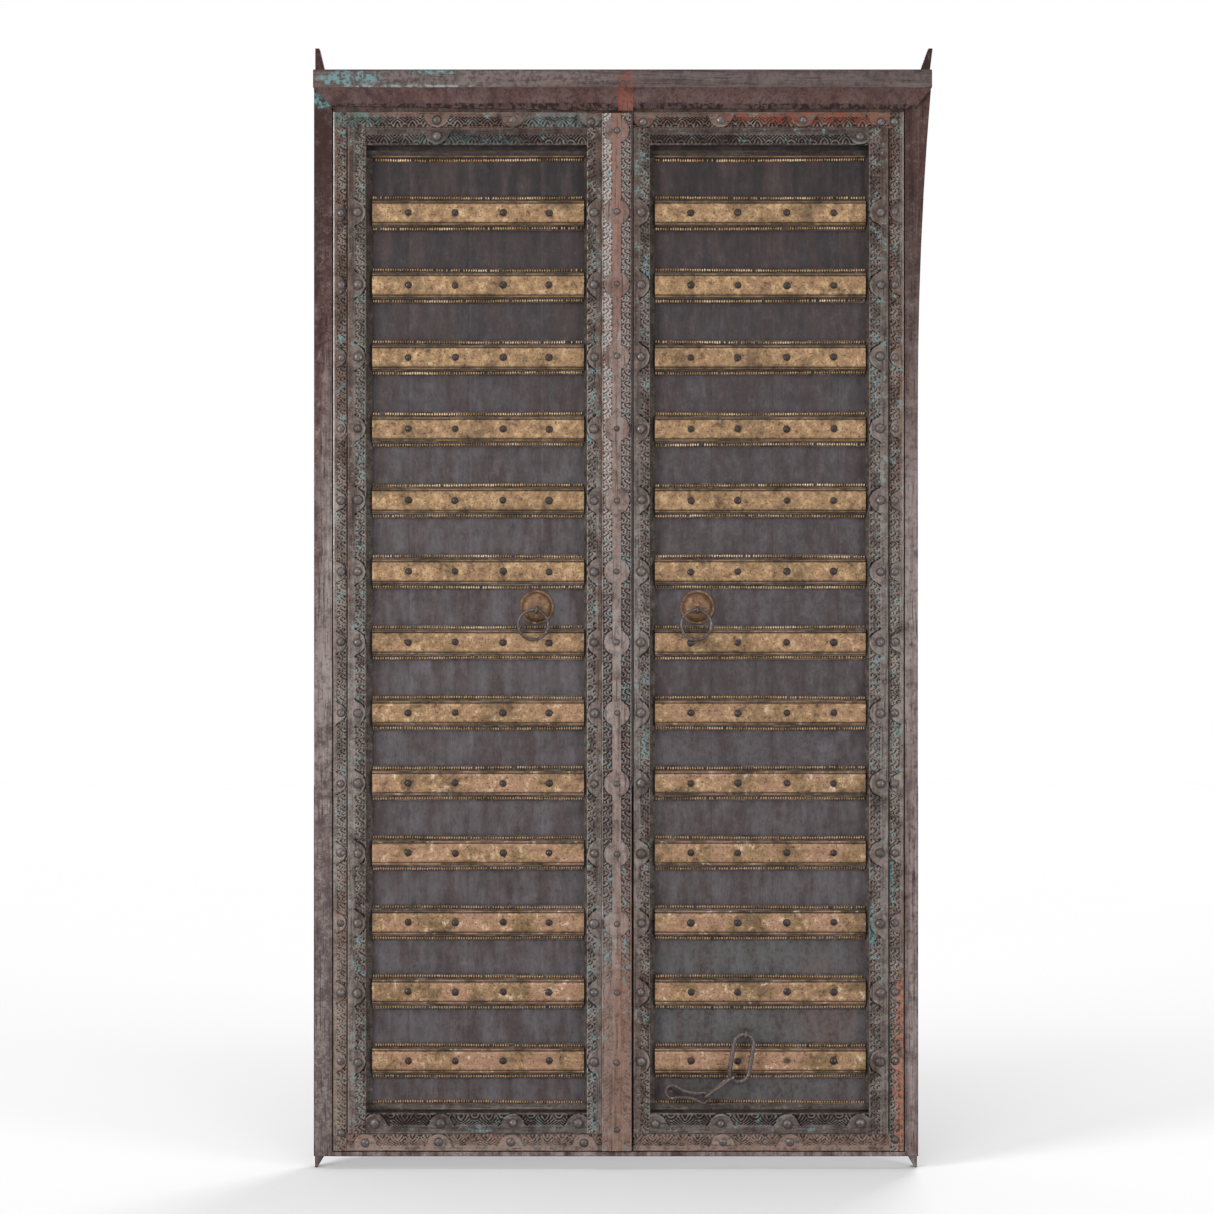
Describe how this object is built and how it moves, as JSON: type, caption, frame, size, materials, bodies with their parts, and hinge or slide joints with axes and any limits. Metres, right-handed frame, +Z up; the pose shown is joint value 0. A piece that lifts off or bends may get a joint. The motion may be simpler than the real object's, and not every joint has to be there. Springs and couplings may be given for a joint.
{
  "type": "carved wooden double door",
  "caption": "Carved wooden double door in its frame, with brass strips, iron studs, ring pulls and a latch chain; both leaves open inwards on wooden pivots.",
  "frame": {"origin": "on the sill's underside, midway between the frame's sides and level with the front of the leaves' pivots", "axes": "+Z up the door, -Y towards the viewer who faces the carved side, +X to that viewer's right"},
  "size_m": [1.24, 0.102, 2.247],
  "materials": {
    "frame_wood": "worn reddish brown",
    "head_wood": "dark, weathered",
    "facing_wood": "weathered brown",
    "painted_block": "worn red-orange paint",
    "leaf_wood": "worn grey-brown",
    "carved_wood": "worn grey-brown with turquoise in the carving",
    "astragal_wood": "pinkish brown, worn",
    "plank_wood": "dark brown, dull",
    "brass": "hammered, tarnished",
    "stud_iron": "dull dark grey",
    "iron": "dull brown-grey"
  },
  "bodies": {
    "frame": {"left_jamb": "frame_wood", "right_jamb": "frame_wood", "head_beam": "head_wood", "head_facing_left": "facing_wood", "head_facing_right": "facing_wood", "head_centre_block": "painted_block", "sill": "frame_wood"},
    "left_leaf": {"astragal": "astragal_wood", "astragal_studs": "stud_iron", "left_back_battens": "plank_wood", "left_beaded_edging": "brass", "left_bottom_moulding": "carved_wood", "left_bottom_rail": "leaf_wood", "left_brass_strips": "brass", "left_hanging_moulding": "carved_wood", "left_hanging_stile": "leaf_wood", "left_ledges": "plank_wood", "left_meeting_moulding": "carved_wood", "left_meeting_stile": "leaf_wood", "left_panel_beads": "carved_wood", "left_planks": "plank_wood", "left_pull_plate": "brass", "left_pull_staple": "iron", "left_strip_nails": "stud_iron", "left_studs": "stud_iron", "left_top_moulding": "carved_wood", "left_top_rail": "leaf_wood"},
    "right_leaf": {"chain_pin": "iron", "chain_top_staple": "iron", "right_back_battens": "plank_wood", "right_beaded_edging": "brass", "right_bottom_moulding": "carved_wood", "right_bottom_rail": "leaf_wood", "right_brass_strips": "brass", "right_hanging_moulding": "carved_wood", "right_hanging_stile": "leaf_wood", "right_ledges": "plank_wood", "right_meeting_moulding": "carved_wood", "right_meeting_stile": "leaf_wood", "right_panel_beads": "carved_wood", "right_planks": "plank_wood", "right_pull_plate": "brass", "right_pull_staple": "iron", "right_strip_nails": "stud_iron", "right_studs": "stud_iron", "right_top_moulding": "carved_wood", "right_top_rail": "leaf_wood"},
    "left_ring": {"left_pull_ring": "iron"},
    "right_ring": {"right_pull_ring": "iron"},
    "first_link": {"chain_link_1": "iron"},
    "second_link": {"chain_link_2": "iron"},
    "hook_link": {"chain_link_3": "iron"}
  },
  "joints": [
    {"name": "left_leaf_swing", "type": "hinge", "parent": "frame", "child": "left_leaf", "pos_m": [-0.554, 0.023, 0.01], "axis": [0, 0, 1], "range_deg": [0, 90]},
    {"name": "right_leaf_swing", "type": "hinge", "parent": "frame", "child": "right_leaf", "pos_m": [0.568, 0.023, 0.01], "axis": [0, 0, -1], "range_deg": [0, 90]},
    {"name": "left_ring_swing", "type": "hinge", "parent": "left_leaf", "child": "left_ring", "pos_m": [-0.157, -0.02, 1.09186], "axis": [-0.9759, 0, 0.2181], "range_deg": [0, 150]},
    {"name": "right_ring_swing", "type": "hinge", "parent": "right_leaf", "child": "right_ring", "pos_m": [0.165, -0.02, 1.09186], "axis": [-0.9962, 0, 0.0872], "range_deg": [0, 150]},
    {"name": "chain_top_swing", "type": "hinge", "parent": "right_leaf", "child": "first_link", "pos_m": [0.261, -0.024, 0.244], "axis": [-0.9848, 0, 0.1736], "range_deg": [0, 70]},
    {"name": "chain_mid_swing", "type": "hinge", "parent": "first_link", "child": "second_link", "pos_m": [0.23211, -0.024, 0.15819], "axis": [-0.5878, 0, 0.809], "range_deg": [0, 45]},
    {"name": "chain_end_swing", "type": "hinge", "parent": "second_link", "child": "hook_link", "pos_m": [0.18446, -0.024, 0.12356], "axis": [-0.5878, 0, 0.809], "range_deg": [0, 60]}
  ]
}
